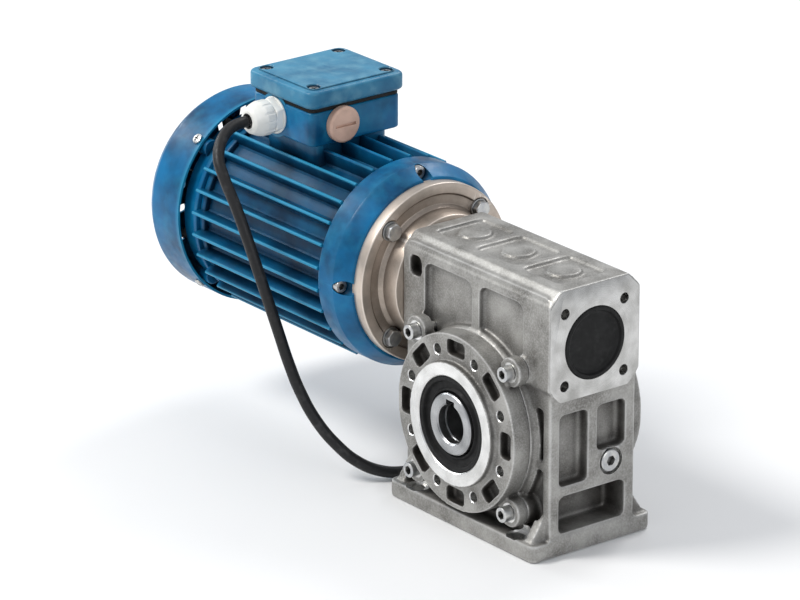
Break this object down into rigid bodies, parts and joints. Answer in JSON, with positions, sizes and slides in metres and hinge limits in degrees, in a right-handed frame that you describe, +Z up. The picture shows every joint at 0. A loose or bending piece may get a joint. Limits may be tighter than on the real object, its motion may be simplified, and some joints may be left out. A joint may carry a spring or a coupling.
{
  "type": "worm gearmotor",
  "caption": "Worm gearmotor: cast gearbox with a hollow keyed output shaft and foot, finned blue motor with fan cowl, terminal box, gland and a coiled supply lead.",
  "frame": {"origin": "middle of the gearbox foot's underside, straight below the output axis", "axes": "+X along the worm and motor, away from the motor; +Y along the output shaft, towards the machine; +Z up from the foot"},
  "size_m": [0.3766, 0.248, 0.2421],
  "materials": {
    "cast_aluminium": "bare die-cast, blasted, matt",
    "zinc_steel": "zinc plated",
    "black_rubber": "moulded, matt",
    "steel": "ground",
    "bare_flange": "turned, unpainted",
    "blue_paint": "semi-gloss paint",
    "lid_paint": "semi-gloss paint, paler than the frame",
    "copper": "enamelled wire",
    "black_plastic": "moulded",
    "pale_plastic": "moulded, light grey",
    "brass": "dull, pinkish",
    "cable_sheath": "smooth black sheath",
    "bronze": "cut teeth"
  },
  "bodies": {
    "gearmotor": {"gearbox_housing": "cast_aluminium", "side_cover": "cast_aluminium", "side_cover_screw_1": "zinc_steel", "side_cover_screw_2": "zinc_steel", "side_cover_screw_3": "zinc_steel", "side_cover_screw_4": "zinc_steel", "flange_bolt_1": "zinc_steel", "flange_bolt_2": "zinc_steel", "flange_bolt_3": "zinc_steel", "flange_bolt_4": "zinc_steel", "oil_plug": "zinc_steel", "lid_screw_1": "zinc_steel", "lid_screw_2": "zinc_steel", "lid_screw_3": "zinc_steel", "lid_screw_4": "zinc_steel", "side_cover_o_ring": "black_rubber", "output_front_seal": "black_rubber", "output_rear_seal": "black_rubber", "input_seal": "black_rubber", "worm_end_cap": "black_rubber", "terminal_box_gasket": "black_rubber", "output_front_bearing_outer_ring": "steel", "output_rear_bearing_outer_ring": "steel", "worm_near_bearing_outer_ring": "steel", "worm_far_bearing_outer_ring": "steel", "motor_front_bearing_outer_ring": "steel", "motor_rear_bearing_outer_ring": "steel", "stator_core": "steel", "input_flange": "bare_flange", "motor_front_shield": "blue_paint", "motor_stator_frame": "blue_paint", "motor_rear_shield": "blue_paint", "motor_fan_cowl": "blue_paint", "terminal_box": "blue_paint", "terminal_box_lid": "lid_paint", "stator_winding_front": "copper", "stator_winding_rear": "copper", "terminal_board": "black_plastic", "supply_cable_tie": "black_plastic", "supply_cable_connector": "black_plastic", "cable_gland_body": "pale_plastic", "cable_gland_nut": "pale_plastic", "blanking_plug": "brass", "supply_cable": "cable_sheath", "supply_cable_coil": "cable_sheath", "supply_cable_tail": "cable_sheath"},
    "output_shaft": {"hollow_output_shaft": "steel", "output_front_bearing_inner_ring": "steel", "output_rear_bearing_inner_ring": "steel", "worm_wheel_rim": "bronze"},
    "motor_rotor": {"worm_shaft": "steel", "worm_near_bearing_inner_ring": "steel", "worm_far_bearing_inner_ring": "steel", "motor_shaft": "steel", "motor_shaft_key": "steel", "rotor_core": "steel", "motor_front_bearing_inner_ring": "steel", "motor_rear_bearing_inner_ring": "steel", "motor_fan": "black_plastic"}
  },
  "joints": [
    {"name": "rotor_spin", "type": "hinge", "parent": "gearmotor", "child": "motor_rotor", "pos_m": [0, 0, 0.135], "axis": [1, 0, 0], "continuous": true},
    {"name": "output_spin", "type": "hinge", "parent": "gearmotor", "child": "output_shaft", "pos_m": [0, 0, 0.072], "axis": [0, 1, 0], "continuous": true}
  ],
  "couplings": [
    {"joint": "output_spin", "follows": "rotor_spin", "ratio": -0.033333}
  ]
}
